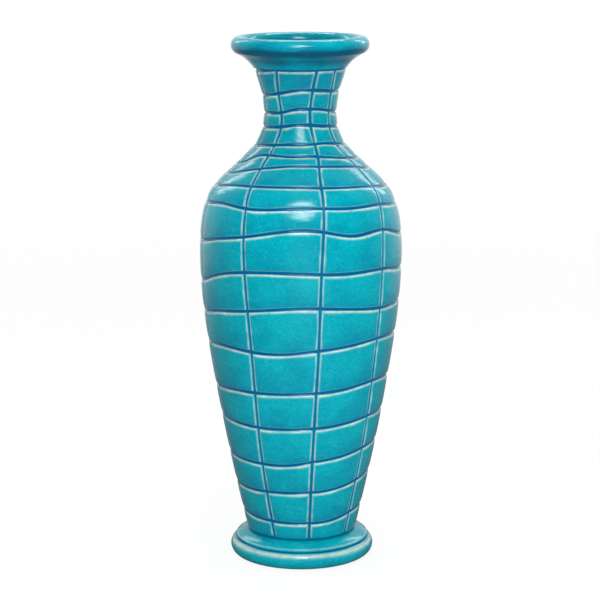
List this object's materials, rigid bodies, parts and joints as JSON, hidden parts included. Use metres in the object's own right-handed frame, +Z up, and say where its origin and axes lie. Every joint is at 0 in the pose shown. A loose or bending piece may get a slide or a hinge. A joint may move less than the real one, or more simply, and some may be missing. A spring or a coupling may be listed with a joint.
{
  "type": "pottery vase",
  "caption": "Tall glazed pottery vase with an incised grid, a rolled foot, a swelling body, a narrow neck and a flared, rolled lip; stands free and holds stems.",
  "frame": {"origin": "centre of the foot's standing face", "axes": "+Z up along the vase's axis; +X and +Y are level and -Y is the front"},
  "size_m": [0.2154, 0.2154, 0.5601],
  "materials": {
    "glaze": "glossy turquoise glaze, deep blue where it pools in the incised lines and cream where it thins on their edges",
    "bare_clay": "buff fired clay, unglazed under the foot"
  },
  "bodies": {
    "root": {"foot_ring": "glaze", "base_slab": "bare_clay", "foot_ledge": "glaze", "floor_coil": "glaze", "lower_wall": "glaze", "middle_wall": "glaze", "upper_wall": "glaze", "shoulder_wall": "glaze", "neck_wall": "glaze", "mouth_flare": "glaze", "lip_roll": "glaze"}
  },
  "joints": []
}
